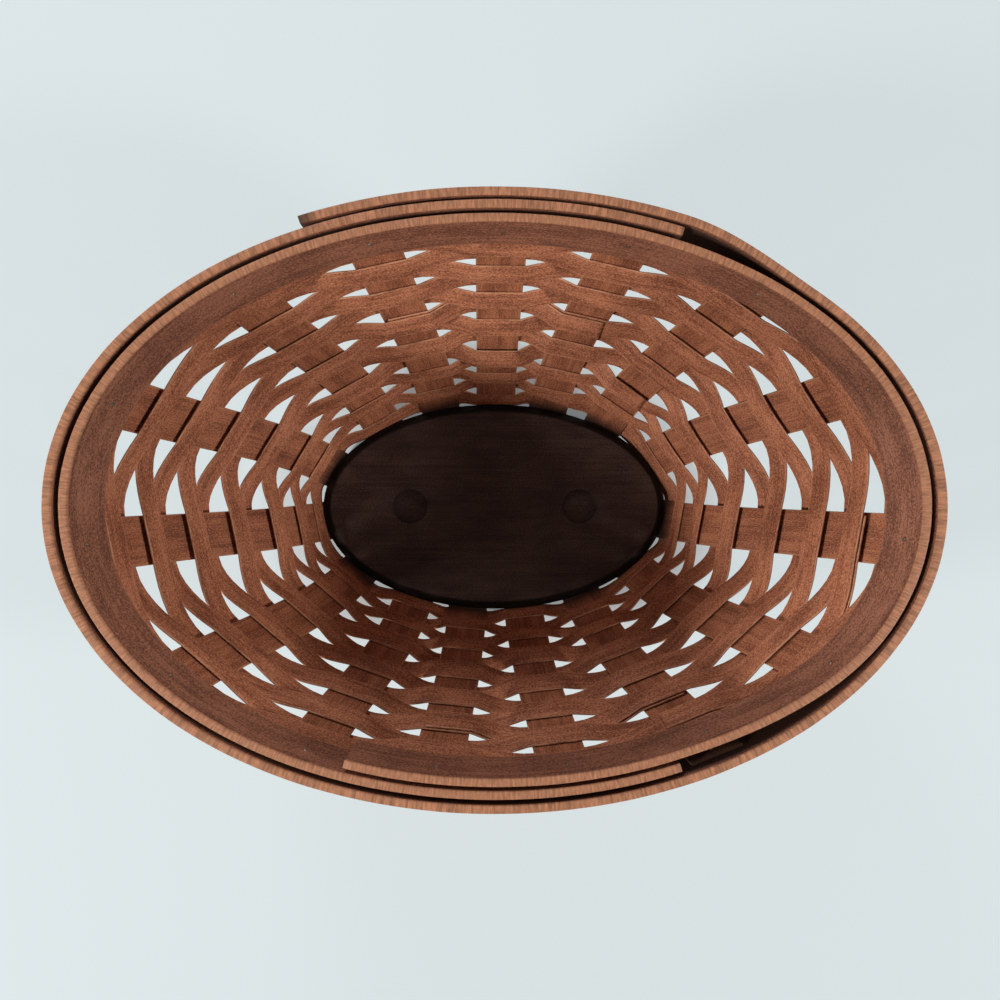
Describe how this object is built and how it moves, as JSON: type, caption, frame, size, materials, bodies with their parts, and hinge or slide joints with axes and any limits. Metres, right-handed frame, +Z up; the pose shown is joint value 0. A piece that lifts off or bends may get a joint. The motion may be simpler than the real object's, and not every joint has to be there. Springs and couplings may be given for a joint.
{
  "type": "woven wood basket",
  "caption": "Oval splint basket with flared open-weave sides, a solid wooden base board and a lapped double hoop rim, for holding bread, fruit or small things.",
  "frame": {"origin": "The middle of the base board's flat underside, which rests on the table.", "axes": "+X runs along the oval's long way, +Y across it and +Z up."},
  "size_m": [0.3049, 0.2112, 0.1268],
  "materials": {
    "board_wood": "dark stained, satin",
    "stake_wood": "stained, satin",
    "strip_wood": "stained, satin",
    "hoop_wood": "stained, satin",
    "brad_metal": "dull"
  },
  "bodies": {
    "root": {"base_board": "board_wood", "stake_01": "stake_wood", "stake_02": "stake_wood", "stake_03": "stake_wood", "stake_04": "stake_wood", "stake_05": "stake_wood", "stake_06": "stake_wood", "stake_07": "stake_wood", "stake_08": "stake_wood", "stake_09": "stake_wood", "stake_10": "stake_wood", "stake_11": "stake_wood", "stake_12": "stake_wood", "stake_13": "stake_wood", "stake_14": "stake_wood", "stake_15": "stake_wood", "narrow_weaver": "strip_wood", "wide_weaver_1": "strip_wood", "wide_weaver_2": "strip_wood", "wide_weaver_3": "strip_wood", "wide_weaver_4": "strip_wood", "inner_hoop": "hoop_wood", "outer_hoop": "hoop_wood", "hoop_brad_01": "brad_metal", "hoop_brad_02": "brad_metal", "hoop_brad_03": "brad_metal", "hoop_brad_04": "brad_metal", "hoop_brad_05": "brad_metal", "hoop_brad_06": "brad_metal", "hoop_brad_07": "brad_metal", "hoop_brad_08": "brad_metal", "hoop_brad_09": "brad_metal", "hoop_brad_10": "brad_metal", "hoop_brad_11": "brad_metal", "hoop_brad_12": "brad_metal", "hoop_brad_13": "brad_metal", "hoop_brad_14": "brad_metal", "hoop_brad_15": "brad_metal"}
  },
  "joints": []
}
